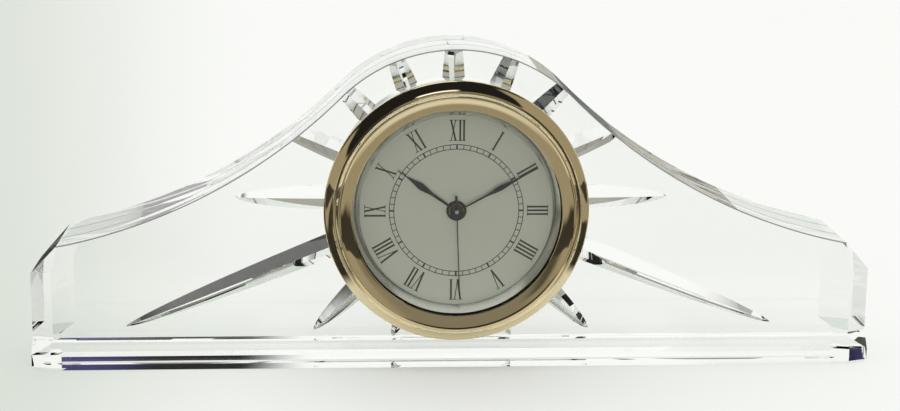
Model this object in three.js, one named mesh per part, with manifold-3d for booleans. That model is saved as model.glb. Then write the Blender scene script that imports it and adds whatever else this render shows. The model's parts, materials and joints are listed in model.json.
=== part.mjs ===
// Crystal mantel clock: a cut lead-crystal block with a round quartz clock insert.
// Millimetres, +Z up, +X to the right seen from the front, front towards -Y.
// The origin is the centre of the block's underside.
// Depths inside the clock are counted from the block's front face, positive towards the back.
import * as THREE from 'three';
import { mergeVertices } from 'three/addons/utils/BufferGeometryUtils.js';
import Module from 'manifold-3d';

const wasm = await Module();
wasm.setup();

// Crystal block
const blockDepth = 29.2;
const endHalfWidth = 112.8;
const endFaceHeight = 25.4;
const shoulderRun = 7.8;
const shoulderRise = 8.7;
const crownRadius = 43;
const flareRadius = 145;
const clockHeight = 43.15;
const boreRadius = 32.3;
const boreChamfer = 0.8;

// Cutting on the block. The upright corner bevels: width across the face, depth along the end
const frontBevel = [6.2, 5.4];
const backBevel = [9.6, 4.6];
const plinthBevel = [5.4, 2];
const plinthHeight = 8.4;
const stopFacetTilt = 30;
const shoulderFacetRise = 1.2;
const shoulderFacetTilt = 9;
const bandCount = 3;
const bandGrooveWidth = 0.6;
const bandGrooveDepth = 0.35;
const plinthGrooveWidth = 0.9;
const backGrooveWidth = 0.9;
const backGrooveHeight = 3.4;
// The foot's lower edge, all round and along the back: height and depth
const footChamfer = [0.9, 0.9];
const backFootBevel = [1.6, 0.7];
const rayInnerRadius = 24;
const rayIncludedAngle = 92;
// Places along a ray, from its tip inwards, where its leaf curve is followed, and how full the leaf
// is: 0.5 is a half ellipse, 1 a pair of arcs
const rayStations = [0, 0.05, 0.2, 0.5, 1];
const rayFullness = 0.6;
// Right half of the sunburst: angle above the level, radius of the tip, greatest width
const rays = [
  [90, 49, 6.6],
  [67.5, 49, 6.6],
  [45, 50, 6.6],
  [22.5, 58, 6.8],
  [0, 59, 7.6],
  [-22, 96.5, 6.9],
  [-44.5, 53.5, 6.9],
  [-67.5, 42.8, 5.6],
];

// Fits
const seatGap = 0.3;
const stackGap = 0.2;
const runningGap = 0.1;
const pivotGap = 0.08;

// Bezel and what it holds
const bezelOverlap = 2.7;
const bezelRidgeProud = 5;
// The moulding from the rim inwards: past the ridge, and as a share of the ridge's height
const bezelMoulding = [
  [3.1, 0.33],
  [2.1, 0.47],
  [1, 0.7],
  [0.7, 0.88],
  [0.25, 1],
  [-0.25, 1],
  [-0.7, 0.89],
];
const bezelRimShare = 0.26;
const lipChamfer = 0.3;
const bezelRidgeInset = 0.1;
const lipProud = 3.3;
const lipWidth = 2;
const skirtClearance = 0.7;
const skirtWall = 1.2;
const skirtDepth = 4.3;
const gasketThickness = 0.4;
const gasketInset = 0.2;
const lensThickness = 1.4;
const rehautThickness = 2.1;
const rehautSetBack = 0.5;
const rehautSlope = 2.3;
const dialThickness = 0.4;
const dialHoleRadius = 2.7;

// Grip ring and cup
const gripThickness = 0.55;
const gripRibHeight = 0.65;
const gripRibCount = 3;
const gripWidth = 8.8;
// Where a rib's crest starts and ends between two grooves
const gripCrest = [0.4, 0.6];
const cupFlange = 1.2;
const cupFlangeSetBack = 0.5;
const cupBackBevel = 1;
const cupWall = 1.5;
const cupBackWall = 1.5;
const cupBackSpace = 3.6;

// Movement case, an upright box with round corners about the hand arbor
const caseHalfWidth = 17;
const caseTop = 17;
const caseBottom = 20.5;
const caseCorner = 3;
const caseWall = 1;
const frontPlate = 0.8;
const motionSpace = 2.6;
const mainPlate = 0.8;
const trainSpace = 6;
const rearPlate = 1;
const plateScrewRadius = 0.8;
const plateScrewHeadRadius = 1.5;
const plateScrewHead = 0.9;
const plateScrewSlot = 0.5;
const plateScrewBite = 0.5;
const plateScrewPlaces = [[-14, 14], [14, 14], [14, -17.5]];
const cupPostPlaces = [[0, 13], [-13.5, 1], [13, -7]];
const cupPostRadius = 1.6;

// Gears: teeth, and one module for each pair of arbors
const cannonTeeth = 10;
const minuteWheelTeeth = 30;
const minutePinionTeeth = 8;
const hourWheelTeeth = 32;
const secondPinionTeeth = 6;
const thirdWheelTeeth = 48;
const thirdPinionTeeth = 6;
const centreWheelTeeth = 45;
const secondWheelTeeth = 36;
const stepPinionTeeth = 6;
const stepWheelTeeth = 30;
const rotorPinionTeeth = 6;
const motionModule = 0.385;
const thirdModule = 0.267;
const stepModule = 0.347;
const rotorModule = 0.267;
const motionAxisAngle = 300;
const thirdAxisAngle = 200;
const stepAxisAngle = 60;
const rotorAxisAngle = -10;
const gearThickness = 0.45;
const levelGap = 0.5;
const plateGap = 0.4;
const pinionOverlap = 0.12;
const gearAddendum = 0.9;
const gearDedendum = 1.2;
const toothRootShare = 0.52;
const toothTipShare = 0.2;
const leafRootShare = 0.46;
const leafTipShare = 0.16;

// Arbors and pipes
const arborRadius = 0.4;
const secondArborRadius = 0.5;
const pivotInset = 0.2;
const cannonBoreRadius = 0.75;
const cannonRadius = 1.4;
const cannonSeatStep = 0.35;
const cannonGripLength = 0.15;
const hourPipeRadius = 2.3;
const hourSeatStep = 0.4;
const pipePastHand = 0.1;
const stemRadius = 0.9;
const bushWall = 0.25;

// Motor
const magnetRadius = 2.1;
const magnetLength = 1.4;
const magnetGap = 0.35;
const rotorHoleRadius = 2.7;
const statorThickness = 0.6;
const statorEyeWall = 1;
const statorArm = 3;
const statorPastEye = 0.5;
const statorPastCore = 0.5;
const statorOverCoil = 2;
const statorToStep = 0.6;
const coilRadius = 2;
const coilLength = 14;
const coilHeight = 13;
const coreSize = 1.1;
const coreLength = 22;
const coreClearance = 0.15;
const bobbinWall = 0.3;
const bobbinFlange = 0.6;
const windingGap = 0.1;

// Electronics and cell
const boardThickness = 0.8;
const boardToScrew = 1;
const boardToStem = 2.8;
const boardToWall = 1.7;
const canRadius = 1;
const canLength = 6;
const cellRadius = 5.8;
const cellThickness = 5.4;
const cellEdge = 0.3;
// The cell's small end: how far it stands in from the rim, its bevel, and its height over the step
const cellEndInset = 1.6;
const cellEndBevel = 0.2;
const cellEndHeight = 0.5;
const cellSideSpace = 0.7;
const cellBottomSpace = 0.2;
const lidMargin = 1.5;
const lidCorner = 1.5;
const thumbGrooveLength = 8;
const thumbGrooveWidth = 1.6;
const thumbGrooveInset = 3;
const contactThickness = 0.25;
const leafLength = 7;
const leafWidth = 2.4;
const leafReach = 5.5;
const stripWidth = 4;

// Hands
const hourHandLength = 19;
const minuteTipGap = 1.3;
const secondTipGap = 2.4;
const secondTailLength = 4.3;
const handThickness = 0.25;
const handOverDial = 0.45;
const handSpacing = 0.4;
const handShank = 0.45;
const handNeedle = 0.22;
const handWidth = 1.25;
// A lance hand's outline: [share of the full width, share of the way] from the axis to the widest
// point, then from there towards the tip, and where its needle starts
const handSwell = [0.72, 0.72];
const handTaper = [0.6, 0.16];
const handNeedleStart = 0.42;
const hourLeafShare = 0.56;
const minuteLeafShare = 0.58;
// The second hand's widths at its tail, the end of its tail's taper, the axis and the tip
const secondTailWidth = 0.64;
const secondNeckWidth = 0.6;
const secondShankWidth = 0.28;
const secondTipWidth = 0.24;
const minuteBossRadius = 1.85;
const hourBossRadius = 3;
const shownHours = 10;
const shownMinutes = 10.25;
const shownSeconds = 29.6;

// Setting knob
const knobRadius = 5;
const knobLength = 3.6;
const knobFlutes = 20;
const knobFluteDepth = 0.35;
const knobCap = 0.4;

// Sides of the round pieces that show, and of those inside
const roundSegments = 44;
const innerSegments = 30;
const pipeSegments = 12;

const shoulderHalfWidth = endHalfWidth - shoulderRun;
const shoulderHeight = endFaceHeight + shoulderRise;
const skirtOuter = boreRadius - skirtClearance;
const skirtInner = skirtOuter - skirtWall;
const innerRadius = skirtInner - seatGap;
const bezelRadius = boreRadius + bezelOverlap;
const openingRadius = skirtInner - lipWidth;
const rehautOuterRadius = openingRadius - rehautSetBack;
const rehautInnerRadius = rehautOuterRadius - rehautSlope;
const cellPlace = [
  -caseHalfWidth + caseWall + cellSideSpace + cellRadius,
  -caseBottom + caseWall + cellBottomSpace + cellRadius,
];
const lidSize = 2 * (cellRadius + lidMargin);
const front = -blockDepth / 2;
const radians = THREE.MathUtils.degToRad;

// Solids from three.js geometry

// A closed solid from any closed geometry: seams merged, collapsed triangles dropped, faces outwards.
function solid(geometry) {
  geometry.deleteAttribute('normal');
  geometry.deleteAttribute('uv');
  const merged = mergeVertices(geometry, 1e-4);
  const place = merged.getAttribute('position').array;
  const index = merged.getIndex().array;
  const corners = [];
  let volume = 0;
  for (let i = 0; i < index.length; i += 3) {
    const [a, b, c] = [index[i], index[i + 1], index[i + 2]];
    if (a === b || b === c || c === a) continue;
    corners.push(a, b, c);
    const [p, q, r] = [a, b, c].map((v) => new THREE.Vector3().fromArray(place, 3 * v));
    volume += p.dot(q.cross(r));
  }
  if (volume < 0) {
    for (let i = 0; i < corners.length; i += 3) {
      [corners[i], corners[i + 1]] = [corners[i + 1], corners[i]];
    }
  }
  return new wasm.Manifold(new wasm.Mesh({
    numProp: 3,
    vertProperties: new Float32Array(place),
    triVerts: new Uint32Array(corners),
  }));
}

// A turned piece: a profile of [radius, depth] points spun about a front-to-back axis.
function turned(profile, segments, [x, z] = [0, 0]) {
  const points = profile.map(([radius, depth]) => new THREE.Vector2(radius, depth));
  if (profile[0][0] > 0 || profile[profile.length - 1][0] > 0) points.push(points[0].clone());
  return solid(new THREE.LatheGeometry(points, segments).translate(x, front, clockHeight + z));
}

// A round bar or disc between two depths.
function rod(radius, from, to, segments = 16, place = [0, 0]) {
  return turned([[0, from], [radius, from], [radius, to], [0, to]], segments, place);
}

// A round tube between two depths.
function tube(outer, inner, from, to, segments = 24, place = [0, 0]) {
  return turned([[inner, from], [outer, from], [outer, to], [inner, to]], segments, place);
}

// A flat piece cut from sheet: an outline seen from the front, between two depths.
function plate(shape, from, to, curveSegments = 8) {
  const geometry = new THREE.ExtrudeGeometry(shape, { depth: to - from, bevelEnabled: false, curveSegments });
  return solid(geometry.rotateX(Math.PI / 2).translate(0, front + to, clockHeight));
}

// A box given by its centre seen from the front, its size and its two depths.
function bar(width, height, from, to, [x, z] = [0, 0]) {
  const box = new THREE.BoxGeometry(width, to - from, height);
  return solid(box.translate(x, front + (from + to) / 2, clockHeight + z));
}

// A rectangle with round corners, from its left, right, bottom and top.
function roundedBox(left, right, bottom, top, corner) {
  const shape = new THREE.Shape();
  shape.moveTo(right - corner, bottom);
  shape.absarc(right - corner, bottom + corner, corner, -Math.PI / 2, 0, false);
  shape.absarc(right - corner, top - corner, corner, 0, Math.PI / 2, false);
  shape.absarc(left + corner, top - corner, corner, Math.PI / 2, Math.PI, false);
  shape.absarc(left + corner, bottom + corner, corner, Math.PI, 1.5 * Math.PI, false);
  return shape;
}

function polygon(points) {
  return new THREE.Shape(points.map(([x, y]) => new THREE.Vector2(x, y)));
}

// A point at a distance and an angle, counted anticlockwise from three o'clock.
function polar(distance, degrees, [x, z] = [0, 0]) {
  return [x + distance * Math.cos(radians(degrees)), z + distance * Math.sin(radians(degrees))];
}

// The block's outline

// Centre of the flare: touching the crown from outside and passing through the shoulder.
function flareCentre() {
  const reach = crownRadius + flareRadius;
  const [dx, dz] = [shoulderHalfWidth, shoulderHeight - clockHeight];
  const span = Math.hypot(dx, dz);
  const along = (reach ** 2 - flareRadius ** 2 + span ** 2) / (2 * span);
  const across = Math.sqrt(reach ** 2 - along ** 2);
  return [(along * dx - across * dz) / span, clockHeight + (along * dz + across * dx) / span];
}

// The top of the hat from the right shoulder over the crown to the left one, as [x, z] points.
function hatTop(flareSteps = 12, crownSteps = 24) {
  const [fx, fz] = flareCentre();
  const joinAngle = Math.atan2(fz - clockHeight, fx);
  const startAngle = Math.atan2(shoulderHeight - fz, shoulderHalfWidth - fx);
  const endAngle = joinAngle - Math.PI;
  const right = [];
  for (let i = 0; i < flareSteps; i += 1) {
    const angle = startAngle + ((endAngle - startAngle) * i) / flareSteps;
    right.push([fx + flareRadius * Math.cos(angle), fz + flareRadius * Math.sin(angle)]);
  }
  const crown = [];
  for (let i = 0; i <= crownSteps; i += 1) {
    const angle = joinAngle + ((Math.PI - 2 * joinAngle) * i) / crownSteps;
    crown.push([crownRadius * Math.cos(angle), clockHeight + crownRadius * Math.sin(angle)]);
  }
  const left = right.map(([x, z]) => [-x, z]).reverse();
  return [...right, ...crown, ...left];
}

// Everything beyond a plane, as a large box standing on it.
function beyond(point, normal) {
  const size = 4 * endHalfWidth;
  const turn = new THREE.Quaternion().setFromUnitVectors(new THREE.Vector3(0, 0, 1), normal);
  const box = new THREE.BoxGeometry(size, size, size).translate(0, 0, size / 2);
  return solid(box.applyQuaternion(turn).translate(point.x, point.y, point.z));
}

// An upright plane's outward direction, leaned back by some degrees, or forward by fewer than none.
function leaned(normal, tilt) {
  const result = normal.clone().multiplyScalar(Math.cos(radians(tilt)));
  result.z = Math.sin(radians(tilt));
  return result;
}

// The bevel along the foot of one wall, given a point on the wall and its outward direction.
function footCut(point, normal, [height, depth]) {
  const tilt = THREE.MathUtils.radToDeg(Math.atan2(depth, height));
  return beyond(point.clone().setZ(height), leaned(normal, -tilt));
}

// The cuts at one end corner: a plain bevel on the plinth with the foot's bevel under it, a deeper
// bevel above it, the stop facet where that ends on the plinth, and a leaning facet at the shoulder.
function cornerCuts(sideX, sideY) {
  const edge = ([width, depth]) => {
    const normal = new THREE.Vector3(sideX * depth, sideY * width, 0).normalize();
    const point = new THREE.Vector3(sideX * endHalfWidth, sideY * (blockDepth / 2 - depth), 0);
    return { normal, point };
  };
  const low = edge(plinthBevel);
  const high = edge(sideY < 0 ? frontBevel : backBevel);
  const abovePlinth = beyond(new THREE.Vector3(0, 0, plinthHeight), new THREE.Vector3(0, 0, 1));
  const stop = beyond(high.point.clone().setZ(plinthHeight), leaned(high.normal, stopFacetTilt));
  const shoulder = high.point.clone().setZ(endFaceHeight + shoulderFacetRise);
  return beyond(low.point, low.normal)
    .add(footCut(low.point, low.normal, footChamfer))
    .add(beyond(high.point, high.normal).intersect(abovePlinth))
    .add(stop.subtract(abovePlinth))
    .add(beyond(shoulder, leaned(high.normal, shoulderFacetTilt)));
}

// One groove along the top, a V swept along the hat line at a depth.
function bandGroove(line, depth) {
  class HatLine extends THREE.Curve {
    getPoint(t) {
      const at = Math.min(t * (line.length - 1), line.length - 1.000001);
      const i = Math.floor(at);
      const [x, z] = [0, 1].map((k) => line[i][k] + (line[i + 1][k] - line[i][k]) * (at - i));
      return new THREE.Vector3(x, front + depth, z);
    }

    getPointAt(u) {
      return this.getPoint(u);
    }

    getTangentAt(u) {
      return this.getTangent(u);
    }
  }
  const curve = new HatLine();
  const slope = bandGrooveWidth / 2 / bandGrooveDepth;
  const rise = 0.5;
  const halfWidth = slope * (bandGrooveDepth + rise);
  const section = polygon([[0, -bandGrooveDepth], [halfWidth, rise], [-halfWidth, rise]]);
  const sweep = { steps: line.length - 1, extrudePath: curve, bevelEnabled: false };
  return solid(new THREE.ExtrudeGeometry(section, sweep));
}

// A V groove along a face: a square bar on its edge, sunk to its diagonal.
function faceGroove(width, y, z) {
  const side = width / Math.SQRT2;
  const squareBar = new THREE.BoxGeometry(2 * endHalfWidth, side, side).rotateX(Math.PI / 4);
  return solid(squareBar.translate(0, y, z));
}

// One ray of the sunburst: a long four-sided blade half sunk in the back face, so that it leaves
// a V with a crease, whose sides curve together in a leaf's point as a cutting wheel leaves them.
function rayBlade(angle, tip, width) {
  const profile = rayStations.map((share) => {
    const half = (width / 2) * (1 - (1 - share) ** 2) ** rayFullness;
    return new THREE.Vector2(half, tip - (tip - rayInnerRadius) * share);
  });
  const blade = new THREE.LatheGeometry([...profile, new THREE.Vector2(0, rayInnerRadius)], 4);
  blade.scale(1, 1, 1 / Math.tan(radians(rayIncludedAngle / 2)));
  blade.rotateX(Math.PI / 2).rotateY(radians(90 - angle));
  return solid(blade.translate(0, blockDepth / 2, clockHeight));
}

function crystalBlock() {
  const top = hatTop();
  const outline = [[endHalfWidth, 0], [endHalfWidth, endFaceHeight], ...top];
  outline.push([-endHalfWidth, endFaceHeight], [-endHalfWidth, 0]);
  const geometry = new THREE.ExtrudeGeometry(polygon(outline), { depth: blockDepth, bevelEnabled: false });
  let block = solid(geometry.rotateX(Math.PI / 2).translate(0, blockDepth / 2, 0));
  for (const sideX of [-1, 1]) {
    for (const sideY of [-1, 1]) block = block.subtract(cornerCuts(sideX, sideY));
    const end = new THREE.Vector3(sideX * endHalfWidth, 0, 0);
    block = block.subtract(footCut(end, end.clone().normalize(), footChamfer));
  }
  for (const [y, bevel] of [[front, footChamfer], [-front, backFootBevel]]) {
    const wall = new THREE.Vector3(0, y, 0);
    block = block.subtract(footCut(wall, wall.clone().normalize(), bevel));
  }
  const past = 0.2;
  const overrun = [endHalfWidth + past * shoulderRun, endFaceHeight - past * shoulderRise];
  const line = [overrun, ...top, [-overrun[0], overrun[1]]];
  for (let i = 1; i < bandCount; i += 1) {
    block = block.subtract(bandGroove(line, (blockDepth * i) / bandCount));
  }
  block = block.subtract(faceGroove(plinthGrooveWidth, front, plinthHeight));
  block = block.subtract(faceGroove(backGrooveWidth, -front, backGrooveHeight));
  for (const [angle, tip, width] of rays) {
    block = block.subtract(rayBlade(angle, tip, width));
    if (angle < 90) block = block.subtract(rayBlade(180 - angle, tip, width));
  }
  const chamferTop = [boreRadius + 2 * boreChamfer, blockDepth + boreChamfer];
  const rim = [[boreRadius, blockDepth - boreChamfer], chamferTop];
  const bore = turned([[0, -1], [boreRadius, -1], ...rim, [0, blockDepth + boreChamfer]], roundSegments);
  return block.subtract(bore);
}

// The stack along the clock's axis, front to back

const gasketFront = -lipProud + stackGap;
const lensFront = gasketFront + gasketThickness + stackGap;
const rehautFront = lensFront + lensThickness + stackGap;
const rehautBack = rehautFront + rehautThickness;
const dialFront = rehautBack + stackGap;
const dialBack = dialFront + dialThickness;
const cupFront = dialBack + seatGap;
const caseFront = dialBack + stackGap;
const motionFront = caseFront + frontPlate;
const motionBack = motionFront + motionSpace;
const mainFront = motionBack + stackGap;
const mainBack = mainFront + mainPlate;
const trainFront = mainBack + stackGap;
const rearFront = trainFront + trainSpace;
const rearBack = rearFront + rearPlate;
const cupBack = rearBack + cupBackSpace + cupBackWall;

function bezel() {
  const ridgeRadius = skirtOuter - bezelRidgeInset;
  return turned([
    [openingRadius, -lipProud],
    [skirtInner, -lipProud],
    [skirtInner, skirtDepth],
    [skirtOuter, skirtDepth],
    [skirtOuter, -seatGap],
    [bezelRadius, -seatGap],
    [bezelRadius, -bezelRidgeProud * bezelRimShare],
    ...bezelMoulding.map(([past, share]) => [ridgeRadius + past, -bezelRidgeProud * share]),
    [openingRadius + lipChamfer, -lipProud - lipChamfer],
    [openingRadius, -lipProud - lipChamfer / 2],
  ], roundSegments);
}

function lensGasket() {
  const [from, to] = [gasketFront, gasketFront + gasketThickness];
  return tube(innerRadius, openingRadius + gasketInset, from, to, innerSegments);
}

function rehaut() {
  return turned([
    [rehautInnerRadius, rehautBack],
    [innerRadius, rehautBack],
    [innerRadius, rehautFront],
    [rehautOuterRadius, rehautFront],
  ], innerSegments);
}

function gripRing() {
  const start = cupFlangeBack + seatGap;
  const inner = gripSeatRadius + seatGap;
  const pitch = gripWidth / gripRibCount;
  const profile = [[inner, start]];
  for (let i = 0; i < gripRibCount; i += 1) {
    profile.push([inner + gripThickness, start + i * pitch]);
    for (const share of gripCrest) {
      profile.push([inner + gripThickness + gripRibHeight, start + (i + share) * pitch]);
    }
  }
  profile.push([inner + gripThickness, start + gripWidth], [inner, start + gripWidth]);
  return turned(profile, innerSegments);
}

// Cup radii: the grip ring lies in a groove between two flanges, with its ribs just short of the bore
const gripOuterRadius = boreRadius - seatGap;
const gripSeatRadius = gripOuterRadius - gripRibHeight - gripThickness - seatGap;
const cupInnerRadius = gripSeatRadius - cupWall;
const cupFlangeFront = skirtDepth + seatGap;
const cupFlangeBack = cupFlangeFront + cupFlange;
const rearFlangeFront = cupFlangeBack + gripWidth + 2 * seatGap;
const rearFlangeBack = rearFlangeFront + cupFlange;

function cup() {
  const flangeRadius = gripOuterRadius - cupFlangeSetBack;
  let body = turned([
    [0, cupBack],
    [gripSeatRadius - cupBackBevel, cupBack],
    [gripSeatRadius, cupBack - cupBackBevel],
    [gripSeatRadius, rearFlangeBack],
    [flangeRadius, rearFlangeBack],
    [flangeRadius, rearFlangeFront],
    [gripSeatRadius, rearFlangeFront],
    [gripSeatRadius, cupFlangeBack],
    [flangeRadius, cupFlangeBack],
    [flangeRadius, cupFlangeFront],
    [innerRadius, cupFlangeFront],
    [innerRadius, cupFront],
    [cupInnerRadius, cupFront],
    [cupInnerRadius, cupBack - cupBackWall],
    [0, cupBack - cupBackWall],
  ], innerSegments);
  for (const place of cupPostPlaces) {
    body = body.add(rod(cupPostRadius, rearBack + stackGap, cupBack - cupBackWall / 2, 10, place));
  }
  body = body.subtract(rod(stemRadius + seatGap, rearBack, cupBack + 1, 12, motionPlace));
  return body.subtract(plate(lidShape(lidSize + 2 * seatGap), rearBack, cupBack + 1, 3));
}

function lidShape(size) {
  const [x, z] = cellPlace;
  return roundedBox(x - size / 2, x + size / 2, z - size / 2, z + size / 2, lidCorner);
}

// The lid fills the cup's back wall, with a thumb groove across it
function batteryLid() {
  const [x, z] = cellPlace;
  const body = plate(lidShape(lidSize), cupBack - cupBackWall, cupBack, 3);
  const place = [x, z + lidSize / 2 - thumbGrooveInset];
  const bottom = cupBack - cupBackWall / 2;
  return body.subtract(bar(thumbGrooveLength, thumbGrooveWidth, bottom, cupBack + 1, place));
}

// Gears

// A gear outline: straight-sided teeth between the root and tip circles, first tooth at the phase angle.
function gearShape(teeth, module, phase, holeRadius, rootShare = toothRootShare, tipShare = toothTipShare) {
  const pitch = (2 * Math.PI) / teeth;
  const root = module * (teeth / 2 - gearDedendum);
  const tip = module * (teeth / 2 + gearAddendum);
  const points = [];
  for (let i = 0; i < teeth; i += 1) {
    const middle = phase + i * pitch;
    const corners = [[root, -rootShare], [tip, -tipShare], [tip, tipShare], [root, rootShare]];
    for (const [radius, share] of corners) {
      const angle = middle + (share * pitch) / 2;
      points.push([radius * Math.cos(angle), radius * Math.sin(angle)]);
    }
  }
  const shape = polygon(points);
  if (holeRadius) shape.holes.push(new THREE.Path().absarc(0, 0, holeRadius, 0, 2 * Math.PI, true));
  return shape;
}

function gear(teeth, module, phase, holeRadius, from, to, [x, z], shares = []) {
  const body = plate(gearShape(teeth, module, phase, holeRadius, ...shares), from, to, pipeSegments / 2);
  return body.translate(x, 0, z);
}

// Phase of a gear whose teeth fall between those of the gear it meshes with.
// The line of centres runs from the first gear to the second at the given angle.
function meshPhase(teeth, otherTeeth, otherPhase, line) {
  const pitchesPast = (otherTeeth * (line - otherPhase)) / (2 * Math.PI);
  return line + Math.PI + (2 * Math.PI * (pitchesPast - 0.5)) / teeth;
}

const leafShares = [leafRootShare, leafTipShare];
const motionDistance = (motionModule * (cannonTeeth + minuteWheelTeeth)) / 2;
const hourModule = (2 * motionDistance) / (minutePinionTeeth + hourWheelTeeth);
const thirdDistance = (thirdModule * (secondPinionTeeth + thirdWheelTeeth)) / 2;
const centreModule = (2 * thirdDistance) / (thirdPinionTeeth + centreWheelTeeth);
const stepDistance = (stepModule * (secondWheelTeeth + stepPinionTeeth)) / 2;
const rotorDistance = (rotorModule * (stepWheelTeeth + rotorPinionTeeth)) / 2;
const handPlace = [0, 0];
const motionPlace = polar(motionDistance, motionAxisAngle);
const thirdPlace = polar(thirdDistance, thirdAxisAngle);
const stepPlace = polar(stepDistance, stepAxisAngle);
const rotorPlace = polar(rotorDistance, rotorAxisAngle, stepPlace);

// Levels of the wheels: two in the motion space, four in the train space
const levelStep = gearThickness + levelGap;
const hourLevel = motionFront + seatGap;
const minuteLevel = hourLevel + levelStep;
const centreLevel = trainFront + plateGap;
const thirdLevel = centreLevel + levelStep;
const secondLevel = thirdLevel + levelStep;
const stepLevel = secondLevel + levelStep;
const magnetFront = stepLevel + gearThickness + pinionOverlap + magnetGap;
const statorFront = magnetFront + (magnetLength - statorThickness) / 2;

function pinion(teeth, module, phase, holeRadius, level, place) {
  const [from, to] = [level - pinionOverlap, level + gearThickness + pinionOverlap];
  return gear(teeth, module, phase, holeRadius, from, to, place, leafShares);
}

function wheel(teeth, module, phase, holeRadius, level, place) {
  return gear(teeth, module, phase, holeRadius, level, level + gearThickness, place);
}

// Phases, each found from the gear it meshes with
const motionLine = radians(motionAxisAngle);
const minuteWheelPhase = meshPhase(minuteWheelTeeth, cannonTeeth, 0, motionLine);
const hourWheelPhase = meshPhase(hourWheelTeeth, minutePinionTeeth, 0, motionLine + Math.PI);
const thirdLine = radians(thirdAxisAngle);
const thirdWheelPhase = meshPhase(thirdWheelTeeth, secondPinionTeeth, 0, thirdLine);
const centreWheelPhase = meshPhase(centreWheelTeeth, thirdPinionTeeth, 0, thirdLine + Math.PI);
const stepPinionPhase = meshPhase(stepPinionTeeth, secondWheelTeeth, 0, radians(stepAxisAngle));
const rotorPinionPhase = meshPhase(rotorPinionTeeth, stepWheelTeeth, 0, radians(rotorAxisAngle));

const pivotFront = mainFront + pivotInset;
const pivotBack = rearBack - pivotInset;

function hourWheel() {
  const pipeInner = cannonRadius + runningGap;
  const disc = wheel(hourWheelTeeth, hourModule, hourWheelPhase, pipeInner, hourLevel, handPlace);
  const seat = hourPipeRadius - hourSeatStep;
  return disc.add(turned([
    [pipeInner, hourHandFront - pipePastHand],
    [seat, hourHandFront - pipePastHand],
    [seat, hourHandBack + runningGap],
    [hourPipeRadius, hourHandBack + runningGap],
    [hourPipeRadius, hourLevel + gearThickness],
    [pipeInner, hourLevel + gearThickness],
  ], pipeSegments));
}

function cannonPinion() {
  const seat = cannonRadius - cannonSeatStep;
  const back = centreLevel + gearThickness + cannonGripLength;
  const leaves = pinion(cannonTeeth, motionModule, 0, cannonBoreRadius, minuteLevel, handPlace);
  return leaves.add(turned([
    [cannonBoreRadius, minuteHandFront - pipePastHand],
    [seat, minuteHandFront - pipePastHand],
    [seat, minuteHandBack + runningGap],
    [cannonRadius, minuteHandBack + runningGap],
    [cannonRadius, back],
    [cannonBoreRadius, back],
  ], pipeSegments));
}

function minuteWheel() {
  const hole = stemRadius + pivotGap;
  const body = wheel(minuteWheelTeeth, motionModule, minuteWheelPhase, hole, minuteLevel, motionPlace);
  const bush = tube(hole + bushWall, hole, hourLevel, minuteLevel + gearThickness, pipeSegments, motionPlace);
  return body.add(bush).add(pinion(minutePinionTeeth, hourModule, 0, hole, hourLevel, motionPlace));
}

function centreWheel() {
  const hole = cannonRadius + pivotGap;
  return wheel(centreWheelTeeth, centreModule, centreWheelPhase, hole, centreLevel, handPlace);
}

function thirdWheel() {
  return wheel(thirdWheelTeeth, thirdModule, thirdWheelPhase, 0, thirdLevel, thirdPlace)
    .add(pinion(thirdPinionTeeth, centreModule, 0, 0, centreLevel, thirdPlace))
    .add(rod(arborRadius, pivotFront, pivotBack, pipeSegments, thirdPlace));
}

function secondWheel() {
  return wheel(secondWheelTeeth, stepModule, 0, 0, secondLevel, handPlace)
    .add(pinion(secondPinionTeeth, thirdModule, 0, 0, thirdLevel, handPlace))
    .add(rod(secondArborRadius, secondHandFront - pipePastHand, pivotBack, pipeSegments, handPlace));
}

function stepWheel() {
  return wheel(stepWheelTeeth, rotorModule, 0, 0, stepLevel, stepPlace)
    .add(pinion(stepPinionTeeth, stepModule, stepPinionPhase, 0, secondLevel, stepPlace))
    .add(rod(arborRadius, pivotFront, pivotBack, pipeSegments, stepPlace));
}

function rotorPinion() {
  return pinion(rotorPinionTeeth, rotorModule, rotorPinionPhase, 0, stepLevel, rotorPlace)
    .add(rod(arborRadius, pivotFront, pivotBack, pipeSegments, rotorPlace));
}

function rotorMagnet() {
  return tube(magnetRadius, arborRadius + pivotGap, magnetFront, magnetFront + magnetLength, 20, rotorPlace);
}

// Hands

const hourHandBack = dialFront - handOverDial;
const hourHandFront = hourHandBack - handThickness;
const minuteHandBack = hourHandFront - handSpacing;
const minuteHandFront = minuteHandBack - handThickness;
const secondHandBack = minuteHandFront - handSpacing;
const secondHandFront = secondHandBack - handThickness;

// A lance hand pointing up: a thin shank that widens to a leaf and runs out in a needle.
function lanceHand(length, leafShare, bossRadius, holeRadius, from, to, clockAngle) {
  const leaf = length * leafShare;
  const half = [
    [handShank / 2, 0],
    [handShank / 2, bossRadius],
    [(handWidth / 2) * handSwell[0], leaf * handSwell[1]],
    [handWidth / 2, leaf],
    [(handWidth / 2) * handTaper[0], leaf + (length - leaf) * handTaper[1]],
    [handNeedle / 2, leaf + (length - leaf) * handNeedleStart],
    [handNeedle / 2, length],
  ];
  const outline = [...half, ...half.map(([x, y]) => [-x, y]).reverse()];
  return plate(polygon(outline), from, to)
    .translate(0, 0, -clockHeight)
    .add(tube(bossRadius, holeRadius / 2, from, to, 20).translate(0, 0, -clockHeight))
    .subtract(rod(holeRadius, from - 1, to + 1, 16).translate(0, 0, -clockHeight))
    .rotate([0, clockAngle, 0])
    .translate(0, 0, clockHeight);
}

const minuteAngle = 6 * shownMinutes;
const hourAngle = 30 * (shownHours + shownMinutes / 60);
const secondAngle = 6 * shownSeconds;

function hourHand() {
  const hole = hourPipeRadius - hourSeatStep + pivotGap;
  const [from, to] = [hourHandFront, hourHandBack];
  return lanceHand(hourHandLength, hourLeafShare, hourBossRadius, hole, from, to, hourAngle);
}

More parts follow.
